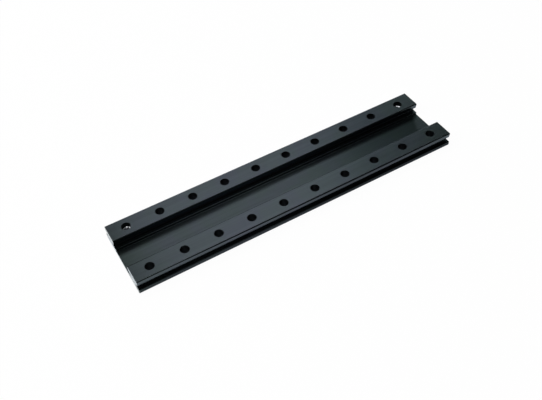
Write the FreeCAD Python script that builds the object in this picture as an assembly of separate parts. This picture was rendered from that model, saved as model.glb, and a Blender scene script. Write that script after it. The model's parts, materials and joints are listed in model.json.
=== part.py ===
import FreeCAD, Part
import math
import os

# One sawn length of double-rail sail track, extruded in aluminium and anodised black.
# Two I-shaped rails stand side by side on one base plate, and each rail has a row of
# holes bored down through it. X runs along the track, Y across it and +Z is up.
# The origin is on the underside, at the middle of the length and of the width.
# All sizes are in millimetres.

# Length and hole rows
hole_pitch = 25.0
holes_per_rail = 10
hole_diameter = 6.6
rail_spacing = 39.0

# Section of one rail, with each reach taken from the hole row
# The head narrows downwards like a shallow dovetail: its flanks lean in by head_lean.
rail_height = 12.0
head_outer_reach = 8.05
head_inner_reach = 7.75
head_lean = 1.0
head_thickness = 4.8
web_width = 9.0
foot_outer_reach = 8.25
foot_inner_reach = 8.5
foot_thickness = 4.2

# Plate between the rails, which is the floor of the channel
floor_thickness = 2.4

# Corner radii of the extruded section
head_edge_radius = 0.8
head_underside_radius = 0.9
groove_root_radius = 0.6
foot_lip_radius = 0.5
foot_bottom_radius = 1.8
floor_corner_radius = 0.4

# Stopped holes at both ends of the far rail
stopped_hole_depth = 4.7
stopped_hole_bevel = 0.6

# Sizes that follow from the ones above
# The stock is sawn midway between two holes, so the pitch runs on across a butt joint.
track_length = holes_per_rail * hole_pitch
head_underside = rail_height - head_thickness
hole_radius = hole_diameter / 2.0
cut_clearance = 1.0


def corner_points(before, corner, after, radius):
    """Start, middle and end of the arc of this radius that rounds a corner."""
    to_before = (before - corner).normalize()
    to_after = (after - corner).normalize()
    half_angle = to_before.getAngle(to_after) / 2.0
    setback = radius / math.tan(half_angle)
    to_centre = (to_before + to_after).normalize()
    centre = corner + to_centre * (radius / math.sin(half_angle))
    start = corner + to_before * setback
    middle = centre - to_centre * radius
    end = corner + to_after * setback
    return start, middle, end


def rounded_outline(corners, x):
    """Closed wire on the plane at x through (y, z, radius) corners."""
    places = [FreeCAD.Vector(x, y, z) for y, z, radius in corners]
    count = len(corners)
    arcs = []
    for i in range(count):
        before = places[i - 1]
        after = places[(i + 1) % count]
        arcs.append(corner_points(before, places[i], after, corners[i][2]))
    edges = []
    for i in range(count):
        start, middle, end = arcs[i]
        next_start = arcs[(i + 1) % count][0]
        edges.append(Part.Arc(start, middle, end).toShape())
        edges.append(Part.LineSegment(end, next_start).toShape())
    return Part.Wire(edges)


def rail_flank(rail_y, side, head_reach, foot_reach, lowest):
    """Corners of one flank of a rail, from its lowest corner up to the head."""
    foot_y = rail_y + side * foot_reach
    web_y = rail_y + side * web_width / 2.0
    head_y = rail_y + side * head_reach
    underside_y = head_y - side * head_lean
    return [
        (foot_y, lowest[0], lowest[1]),
        (foot_y, foot_thickness, foot_lip_radius),
        (web_y, foot_thickness, groove_root_radius),
        (web_y, head_underside, groove_root_radius),
        (underside_y, head_underside, head_underside_radius),
        (head_y, rail_height, head_edge_radius),
    ]


def track_section():
    """Corners of the whole section, clockwise from the near rail's outer foot."""
    near_y = -rail_spacing / 2.0
    far_y = rail_spacing / 2.0
    outer_foot = (0.0, foot_bottom_radius)
    inner_foot = (floor_thickness, floor_corner_radius)
    near_outer = rail_flank(near_y, -1, head_outer_reach, foot_outer_reach, outer_foot)
    near_inner = rail_flank(near_y, 1, head_inner_reach, foot_inner_reach, inner_foot)
    far_inner = rail_flank(far_y, -1, head_inner_reach, foot_inner_reach, inner_foot)
    far_outer = rail_flank(far_y, 1, head_outer_reach, foot_outer_reach, outer_foot)
    return near_outer + near_inner[::-1] + far_inner + far_outer[::-1]


def extruded_stock():
    """The section run along X to the sawn length."""
    outline = rounded_outline(track_section(), -track_length / 2.0)
    return Part.Face(outline).extrude(FreeCAD.Vector(track_length, 0, 0))


def through_hole(x, y):
    """Cutter for a plain hole from the head to the underside."""
    height = rail_height + 2.0 * cut_clearance
    foot = FreeCAD.Vector(x, y, -cut_clearance)
    return Part.makeCylinder(hole_radius, height, foot, FreeCAD.Vector(0, 0, 1))


def stopped_hole(x, y):
    """Cutter for a flat-bottomed hole with a bevelled rim round its floor."""
    floor_z = rail_height - stopped_hole_depth
    half_section = Part.makePolygon([
        FreeCAD.Vector(x, y, floor_z),
        FreeCAD.Vector(x + hole_radius - stopped_hole_bevel, y, floor_z),
        FreeCAD.Vector(x + hole_radius, y, floor_z + stopped_hole_bevel),
        FreeCAD.Vector(x + hole_radius, y, rail_height + cut_clearance),
        FreeCAD.Vector(x, y, rail_height + cut_clearance),
        FreeCAD.Vector(x, y, floor_z),
    ])
    axis_foot = FreeCAD.Vector(x, y, floor_z)
    return Part.Face(half_section).revolve(axis_foot, FreeCAD.Vector(0, 0, 1), 360)


def hole_cutters():
    """One row of cutters down each rail, the far row stopped at both ends."""
    cutters = []
    for i in range(holes_per_rail):
        x = (i - (holes_per_rail - 1) / 2.0) * hole_pitch
        cutters.append(through_hole(x, -rail_spacing / 2.0))
        if i in (0, holes_per_rail - 1):
            cutters.append(stopped_hole(x, rail_spacing / 2.0))
        else:
            cutters.append(through_hole(x, rail_spacing / 2.0))
    return cutters


track = extruded_stock().cut(Part.makeCompound(hole_cutters()))
track = track.removeSplitter()
if track.ShapeType == "Compound":
    track = track.Solids[0]

print("valid", track.isValid(), "solids", len(track.Solids), "faces", len(track.Faces))
print("size", track.BoundBox.XLength, track.BoundBox.YLength, track.BoundBox.ZLength)
print("volume in cubic millimetres", round(track.Volume, 1))

os.makedirs("parts", exist_ok=True)
track.exportStep("parts/track_section.step")
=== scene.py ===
import json
import math
import bpy
from mathutils import Matrix, Vector


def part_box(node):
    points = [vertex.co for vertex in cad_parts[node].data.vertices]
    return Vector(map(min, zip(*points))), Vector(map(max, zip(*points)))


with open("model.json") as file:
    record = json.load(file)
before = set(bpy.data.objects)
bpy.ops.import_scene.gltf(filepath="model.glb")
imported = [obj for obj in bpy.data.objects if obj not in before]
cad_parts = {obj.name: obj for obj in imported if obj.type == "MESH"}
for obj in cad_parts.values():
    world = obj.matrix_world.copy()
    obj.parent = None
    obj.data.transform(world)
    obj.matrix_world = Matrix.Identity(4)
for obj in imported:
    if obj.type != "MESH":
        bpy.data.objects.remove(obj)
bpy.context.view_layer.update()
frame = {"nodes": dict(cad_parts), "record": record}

track = frame["nodes"]["track_section"]
low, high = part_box("track_section")
print("frame loaded")


# where the photograph was taken from, in metres and degrees
photoCamera = {
    "place": (-0.17121, -0.30566, 0.37985),
    "heading": 27.506,  # from +Y towards +X
    "tilt": 48.085,  # below the horizon
    "roll": -3.889,
    "lens": 48.087,  # the lens and the sensor are in millimetres
    "sensorWidth": 36.0,
    "nearest": 0.01,  # things closer than this aren't drawn
}


def makeCamera(values):
    lensData = bpy.data.cameras.new("photoCamera")
    lensData.lens = values["lens"]
    lensData.sensor_width = values["sensorWidth"]
    lensData.clip_start = values["nearest"]
    camera = bpy.data.objects.new("photoCamera", lensData)
    bpy.context.scene.collection.objects.link(camera)
    turn = Matrix.Rotation(math.radians(-values["heading"]), 4, "Z")
    turn = turn @ Matrix.Rotation(math.radians(90.0 - values["tilt"]), 4, "X")
    turn = turn @ Matrix.Rotation(math.radians(values["roll"]), 4, "Z")
    camera.matrix_world = Matrix.Translation(values["place"]) @ turn
    bpy.context.scene.camera = camera


makeCamera(photoCamera)
print("camera placed")


# black anodised finish with painted shade and light in places, bare where the stock is sawn, all sizes in
# metres
# the left and right ends are those at -X and +X
finish = {
    "black": (0.065, 0.075, 0.091, 1.0),
    "greenBlack": (0.057, 0.076, 0.073, 1.0),  # where the dye took less blue
    "edgeTint": (0.86, 0.92, 1.0, 1.0),  # faces seen at a slant keep the blue
    "bare": (0.60, 0.625, 0.62, 1.0),
    "brightBare": (0.68, 0.70, 0.73, 1.0),  # the fresh bevel in the stopped holes
    "stopFloor": (0.15, 0.155, 0.18, 1.0),  # and the floor inside it
    "metallic": 1.0,
    "greenShares": {"clouds": 0.40, "channel": 0.17, "ends": 0.34},
    "greenFrom": (0.38, 0.62),  # the part of the clouds over which the dye turns
    "endFade": (0.085, 0.122),  # how far from the middle the ends turn green
    # what the black is multiplied by in each place, as painted shade and painted light
    "tones": {
        # painted shade: the hole walls are darkened for the shade deep inside the holes
        "bores": 0.22,
        "feet": 0.45,  # painted shade: the outer feet are darkened for the floor's shadow beside them
        "edgeShadeLine": 0.20,  # painted shade: a dark line runs along the rounded outer edge of each head
        "innerEdgeShadeLine": 0.35,  # painted shade: a fainter dark line along the near head's edge over the channel
        "outerSides": 1.25,  # painted reflection and painted shade: the outer sides are lighter on the left and darker on the right
        "rightSideShade": 0.66,
        "rightFootShade": 0.50,
    },
    "rightFade": (-0.06, 0.06),  # where along the track the painted shade of the right half sets in
    "edgeDepth": 0.0009,
    "edgeGrowth": 0.0010,  # the painted dark line is this much deeper in the right half
    "edgeAtEnds": 0.15,  # how much of it is left at both ends
    "edgeFade": (0.06, 0.12),  # how far from the middle it fades
    "uprightFrom": (0.995, 0.90),  # how far a face turns from level before it counts as upright
    "innerEdgeFrom": (0.999, 0.985),
    "feetFrom": (0.0250, 0.0268),  # from the middle of the width
    "feetTop": 0.0043,  # the feet and the channel lie below this height
    "roughness": 0.30,
    # the upright faces are smoother than the tops, and the bored walls are dull
    "otherRoughness": {"sides": 0.18, "bores": 0.55, "sawn": 0.42, "bevels": 0.45},
    "anisotropy": 0.90,  # the die leaves lines along the track
    "dieLines": {"apart": 0.0011, "long": 0.16, "detail": 3.0, "deep": 0.0000030, "tone": 0.34},
    "dieBands": {"apart": 0.0045, "long": 0.20, "detail": 2.0, "tone": 0.24},
    "clouds": {"apart": 0.017, "detail": 3.0, "tone": 0.18, "gloss": 0.05},
    "grain": {"apart": 0.0004, "detail": 2.0, "deep": 0.0000012, "gloss": 0.05},
    "sawLines": {"apart": 0.0002, "detail": 3.0, "deep": 0.000009, "tone": 0.45},
    "sawCentre": {"Y": 0.045, "Z": -0.13},  # the middle of the blade at the cut
    "stopDepth": 0.0047,
    "stopBevel": 0.0006,
}
mounts = {mount["name"]: mount["dims"] for mount in frame["record"]["mounts"]}
holePitch = mounts["fixing_holes_inner"]["spacing_x_mm"] / 1000
rowFromMiddle = mounts["fixing_holes_inner"]["spacing_y_mm"] / 2000
holeRadius = mounts["fixing_holes_inner"]["hole_r_mm"] / 1000
hair = 0.00003  # how near a face a place still counts as on it


def link(tree, fromNode, fromSocket, toNode, toSocket):
    tree.links.new(fromNode.outputs[fromSocket], toNode.inputs[toSocket])


def mathNode(tree, operation, *values):
    node = tree.nodes.new("ShaderNodeMath")
    node.operation = operation
    for socket, value in zip(node.inputs, values):
        if isinstance(value, (int, float)):
            socket.default_value = value
        else:
            tree.links.new(value, socket)
    return node.outputs[0]


def addUp(tree, first, *others):
    for other in others:
        first = mathNode(tree, "ADD", first, other)
    return first


def times(tree, first, *others):
    for other in others:
        first = mathNode(tree, "MULTIPLY", first, other)
    return first


def outside(tree, mask):
    return mathNode(tree, "SUBTRACT", 1.0, mask)


def above(tree, value, limit):
    return mathNode(tree, "GREATER_THAN", value, limit)


def below(tree, value, limit):
    return mathNode(tree, "LESS_THAN", value, limit)


def distance(tree, first, second):
    squares = addUp(tree, times(tree, first, first), times(tree, second, second))
    return mathNode(tree, "SQRT", squares)


def ramp(tree, value, lowEnd, highEnd):
    node = tree.nodes.new("ShaderNodeMapRange")
    node.interpolation_type = "SMOOTHSTEP"
    tree.links.new(value, node.inputs["Value"])
    node.inputs["From Min"].default_value = lowEnd
    node.inputs["From Max"].default_value = highEnd
    return node.outputs["Result"]


def swing(tree, field, amount):
    # a field between 0 and 1 made a change of half this amount either way
    return times(tree, mathNode(tree, "SUBTRACT", field, 0.5), amount)


def mixColours(tree, factor, first, second):
    mix = tree.nodes.new("ShaderNodeMix")
    mix.data_type = "RGBA"
    for socket, value in zip(("Factor", "A", "B"), (factor, first, second)):
        if isinstance(value, tuple):
            mix.inputs[socket].default_value = value
        else:
            tree.links.new(value, mix.inputs[socket])
    return mix.outputs["Result"]


def toned(tree, colour, tone):
    scale = tree.nodes.new("ShaderNodeVectorMath")
    scale.operation = "SCALE"
    if isinstance(colour, tuple):
        scale.inputs["Vector"].default_value = colour[:3]
    else:
        tree.links.new(colour, scale.inputs["Vector"])
    tree.links.new(tone, scale.inputs["Scale"])
    return scale.outputs["Vector"]


def noiseField(tree, place, values):
    # spots this far apart, stretched along the track where long is given
    size = (values.get("long", values["apart"]), values["apart"], values["apart"])
    stretch = tree.nodes.new("ShaderNodeMapping")
    stretch.inputs["Scale"].default_value = [1 / length for length in size]
    link(tree, place, "Object", stretch, "Vector")
    noise = tree.nodes.new("ShaderNodeTexNoise")
    noise.inputs["Scale"].default_value = 1.0  # the mapping gives the size
    noise.inputs["Detail"].default_value = values["detail"]
    link(tree, stretch, "Vector", noise, "Vector")
    return noise.outputs["Fac"]


def sawArcs(tree, parts, centre, values):
    # uneven lines on circles round the saw's centre
    across, up = (mathNode(tree, "SUBTRACT", parts.outputs[axis], centre[axis]) for axis in "YZ")
    noise = tree.nodes.new("ShaderNodeTexNoise")
    noise.noise_dimensions = "1D"
    noise.inputs["Scale"].default_value = 1 / values["apart"]
    noise.inputs["Detail"].default_value = values["detail"]
    tree.links.new(distance(tree, across, up), noise.inputs["W"])
    return noise.outputs["Fac"]


def boreMasks(tree, parts, values):
    # every hole wall, then the bevel and the floor of the stopped holes
    # the holes lie half a pitch to either side of the middle of the length
    height = parts.outputs["Z"]
    turns = mathNode(tree, "DIVIDE", parts.outputs["X"], holePitch)
    fromHole = mathNode(tree, "SUBTRACT", mathNode(tree, "FRACT", turns), 0.5)
    fromRow = mathNode(tree, "SUBTRACT", mathNode(tree, "ABSOLUTE", parts.outputs["Y"]), rowFromMiddle)
    radius = distance(tree, times(tree, fromHole, holePitch), fromRow)
    inHole = below(tree, radius, holeRadius + hair)
    floorHeight = high.z - values["stopDepth"]
    stopped = times(tree, below(tree, height, floorHeight + values["stopBevel"] - hair),
                    below(tree, radius, holeRadius - hair), above(tree, height, hair))
    bevels = times(tree, stopped, above(tree, height, floorHeight + hair))
    return {
        # the hole walls, which the finish darkens as painted shade and makes dull
        "bores": times(tree, inHole, below(tree, height, high.z - hair)),
        "bevels": bevels,
        "stopFloors": mathNode(tree, "SUBTRACT", stopped, bevels),
    }


def sideMasks(tree, place, parts, bores, values):
    height = parts.outputs["Z"]
    alongTrack = mathNode(tree, "ABSOLUTE", parts.outputs["X"])
    acrossTrack = mathNode(tree, "ABSOLUTE", parts.outputs["Y"])
    toRight = ramp(tree, parts.outputs["X"], *values["rightFade"])
    facing = tree.nodes.new("ShaderNodeSeparateXYZ")
    link(tree, place, "Normal", facing, "Vector")
    level = mathNode(tree, "ABSOLUTE", facing.outputs["Z"])
    upright = ramp(tree, level, *values["uprightFrom"])
    outerSides = times(tree, upright, above(tree, acrossTrack, rowFromMiddle))

    # painted shade: the dark line along the top of each outer side, fading towards both ends
    edgeFoot = mathNode(tree, "SUBTRACT", high.z - values["edgeDepth"],
                        times(tree, toRight, values["edgeGrowth"]))
    faded = times(tree, ramp(tree, alongTrack, *values["edgeFade"]), 1.0 - values["edgeAtEnds"])
    edgeShadeLine = times(tree, outerSides, above(tree, height, edgeFoot), outside(tree, faded))

    # the painted dark line on the inner edge lies between the near row of holes and the middle of the track
    fromBetween = mathNode(tree, "ABSOLUTE", addUp(tree, parts.outputs["Y"], rowFromMiddle / 2))
    innerEdgeShadeLine = times(tree, ramp(tree, level, *values["innerEdgeFrom"]),
                      below(tree, fromBetween, rowFromMiddle / 2),
                      above(tree, height, high.z - values["edgeDepth"]), outside(tree, bores))

    channel = below(tree, height, values["feetTop"])
    # the outer feet, where the black is darkened as painted shade
    feet = times(tree, ramp(tree, acrossTrack, *values["feetFrom"]), channel)
    return {
        "upright": upright,
        "outerSides": outerSides,
        # painted shade on the outer sides and feet of the right half
        "rightSideShade": times(tree, outerSides, toRight),
        "edgeShadeLine": edgeShadeLine,
        "innerEdgeShadeLine": innerEdgeShadeLine,
        "channel": channel,
        "feet": feet,
        "rightFootShade": times(tree, feet, toRight),
        "ends": ramp(tree, alongTrack, *values["endFade"]),
        "sawn": above(tree, alongTrack, high.x - hair),
    }


def trackColour(tree, masks, fields, values):
    shares = values["greenShares"]
    greenClouds = ramp(tree, fields["clouds"], *values["greenFrom"])
    green = addUp(tree, times(tree, greenClouds, shares["clouds"]),
                  times(tree, masks["channel"], shares["channel"]),
                  times(tree, masks["ends"], shares["ends"]))
    dyed = mixColours(tree, green, values["black"], values["greenBlack"])
    toneFields = ("dieLines", "dieBands", "clouds")
    tone = addUp(tree, *(swing(tree, fields[name], values[name]["tone"]) for name in toneFields), 1.0)
    # painted shade and light: the hole walls, outer feet, head edges and right half are darkened, the outer
    # sides lightened
    for name, share in values["tones"].items():
        tone = times(tree, tone, outside(tree, times(tree, masks[name], 1.0 - share)))
    bareTone = addUp(tree, swing(tree, fields["sawLines"], values["sawLines"]["tone"]), 1.0)
    bare = toned(tree, values["bare"], bareTone)
    colour = mixColours(tree, masks["sawn"], toned(tree, dyed, tone), bare)
    colour = mixColours(tree, masks["bevels"], colour, values["brightBare"])
    return mixColours(tree, masks["stopFloors"], colour, values["stopFloor"])


def trackRoughness(tree, masks, fields, values):
    bores = mathNode(tree, "SUBTRACT", masks["bores"], masks["bevels"])
    notSides = mathNode(tree, "MAXIMUM", bores, masks["sawn"])
    places = {
        "sides": times(tree, masks["upright"], outside(tree, notSides)),
        "bores": bores,
        "sawn": masks["sawn"],
        "bevels": masks["bevels"],
    }
    glossFields = ("clouds", "grain")
    rough = addUp(tree, *(swing(tree, fields[name], values[name]["gloss"]) for name in glossFields),
                  values["roughness"])
    for name, roughness in values["otherRoughness"].items():
        rough = addUp(tree, rough, times(tree, places[name], roughness - values["roughness"]))
    return rough


def trackBumps(tree, masks, fields, values):
    heights = {
        "dieLines": times(tree, fields["dieLines"], outside(tree, masks["sawn"])),
        "grain": fields["grain"],
        "sawLines": times(tree, fields["sawLines"], masks["sawn"]),
    }
    normal = None
    for name, height in heights.items():
        bump = tree.nodes.new("ShaderNodeBump")
        bump.inputs["Distance"].default_value = values[name]["deep"]
        tree.links.new(height, bump.inputs["Height"])
        if normal is not None:
            tree.links.new(normal, bump.inputs["Normal"])
        normal = bump.outputs["Normal"]
    return normal


def anodisedMaterial(values):
    material = bpy.data.materials.new("anodisedTrack")
    material.use_nodes = True
    tree = material.node_tree
    tree.nodes.clear()
    output = tree.nodes.new("ShaderNodeOutputMaterial")
    shader = tree.nodes.new("ShaderNodeBsdfPrincipled")
    link(tree, shader, "BSDF", output, "Surface")
    shader.inputs["Metallic"].default_value = values["metallic"]
    shader.inputs["Anisotropic"].default_value = values["anisotropy"]
    shader.inputs["Specular Tint"].default_value = values["edgeTint"]
    roundTrack = tree.nodes.new("ShaderNodeTangent")
    roundTrack.direction_type = "RADIAL"
    roundTrack.axis = "X"
    link(tree, roundTrack, "Tangent", shader, "Tangent")

    place = tree.nodes.new("ShaderNodeTexCoord")
    parts = tree.nodes.new("ShaderNodeSeparateXYZ")
    link(tree, place, "Object", parts, "Vector")
    noises = ("dieLines", "dieBands", "clouds", "grain")
    fields = {name: noiseField(tree, place, values[name]) for name in noises}
    fields["sawLines"] = sawArcs(tree, parts, values["sawCentre"], values["sawLines"])
    masks = boreMasks(tree, parts, values)
    masks.update(sideMasks(tree, place, parts, masks["bores"], values))

    tree.links.new(trackColour(tree, masks, fields, values), shader.inputs["Base Color"])
    tree.links.new(trackRoughness(tree, masks, fields, values), shader.inputs["Roughness"])
    tree.links.new(trackBumps(tree, masks, fields, values), shader.inputs["Normal"])
    return material


track.data.materials.clear()
track.data.materials.append(anodisedMaterial(finish))
print("finish made")


# lamps by the way they lie from the track: along is the share of the way that runs along +X,
# round is the angle about the track, up from the far side over the top towards the camera
studio = {
    "floorSize": 6.0,
    "floorColour": (0.90, 0.90, 0.90, 1.0),
    "floorGap": 0.0001,  # the floor lies this far under the track
    "floorGlow": 0.97,  # how much of the white the camera sees is not lit by the lamps
    "floorGlowInMirrors": 0.45,
    "ambient": 0.06,
    "backdrop": 1.0,  # the strength of the white that the camera sees past the floor
    "white": (1.0, 1.0, 1.0, 1.0),
    "lampDistance": 1.6,
    "lamps": {
        "backSoftbox": {"along": 0.22, "round": 60, "size": (0.76, 0.42), "watts": 2.55},
        "backTop": {"along": 0.20, "round": 76, "size": (0.75, 0.35), "watts": 0.5},
        "backRight": {"along": 0.48, "round": 60, "size": (0.40, 0.42), "watts": 0.35,
                      "colour": (0.75, 1.0, 0.90)},
        "overhead": {"along": 0.25, "round": 96, "size": (0.90, 0.50), "watts": 1.4,
                     "colour": (0.92, 1.0, 0.96)},
        "lowStrip": {"along": 0.35, "round": 20, "size": (1.00, 0.30), "watts": 4.1},
        "leftPanel": {"along": -0.62, "round": 72, "size": (1.30, 1.50), "watts": 22.5},
        "rightPanel": {"along": 0.93, "round": 95, "size": (0.90, 0.90), "watts": 4.0},
        "frontFill": {"along": -0.36, "round": 130, "size": (0.50, 0.40), "watts": 2.8},
    },
}


def makeFloor(values):
    bpy.ops.object.select_all(action="DESELECT")
    bpy.ops.mesh.primitive_plane_add(size=values["floorSize"], location=(0, 0, low.z - values["floorGap"]))
    floor = bpy.context.object
    floor.name = "studioFloor"
    material = bpy.data.materials.new("studioFloor")
    material.use_nodes = True
    tree = material.node_tree
    tree.nodes.clear()
    output = tree.nodes.new("ShaderNodeOutputMaterial")
    diffuse = tree.nodes.new("ShaderNodeBsdfDiffuse")
    diffuse.inputs["Color"].default_value = values["floorColour"]
    glow = tree.nodes.new("ShaderNodeEmission")
    path = tree.nodes.new("ShaderNodeLightPath")
    mirrored = mathNode(tree, "MAXIMUM", path.outputs["Is Glossy Ray"], path.outputs["Is Transmission Ray"])
    forMirrors = times(tree, mirrored, values["floorGlowInMirrors"])
    forCamera = times(tree, path.outputs["Is Camera Ray"], values["floorGlow"])
    mix = tree.nodes.new("ShaderNodeMixShader")
    tree.links.new(mathNode(tree, "MAXIMUM", forMirrors, forCamera), mix.inputs["Fac"])
    link(tree, diffuse, "BSDF", mix, 1)
    link(tree, glow, "Emission", mix, 2)
    link(tree, mix, "Shader", output, "Surface")
    floor.data.materials.append(material)


def makeLamps(values):
    for name, lampValues in values["lamps"].items():
        lamp = bpy.data.lights.new(name, "AREA")
        lamp.shape = "RECTANGLE"
        lamp.size, lamp.size_y = lampValues["size"]
        lamp.energy = lampValues["watts"]
        lamp.color = lampValues.get("colour", values["white"][:3])
        along = lampValues["along"]
        around = math.sqrt(1.0 - along * along)
        angle = math.radians(lampValues["round"])
        away = Vector((along, around * math.cos(angle), around * math.sin(angle)))
        lampObject = bpy.data.objects.new(name, lamp)
        lampObject.location = away * values["lampDistance"]
        lampObject.rotation_euler = (-away).to_track_quat("-Z", "Y").to_euler()
        bpy.context.scene.collection.objects.link(lampObject)


def makeWorld(values):
    world = bpy.data.worlds.new("studioWorld")
    bpy.context.scene.world = world
    world.use_nodes = True
    tree = world.node_tree
    tree.nodes.clear()
    output = tree.nodes.new("ShaderNodeOutputWorld")
    path = tree.nodes.new("ShaderNodeLightPath")
    mix = tree.nodes.new("ShaderNodeMixShader")
    link(tree, path, "Is Camera Ray", mix, "Fac")
    for socket, name in ((1, "ambient"), (2, "backdrop")):
        light = tree.nodes.new("ShaderNodeBackground")
        light.inputs["Color"].default_value = values["white"]
        light.inputs["Strength"].default_value = values[name]
        link(tree, light, "Background", mix, socket)
    link(tree, mix, "Shader", output, "Surface")


makeFloor(studio)
makeLamps(studio)
makeWorld(studio)
bpy.context.scene.view_settings.view_transform = "Standard"
print("studio lit")
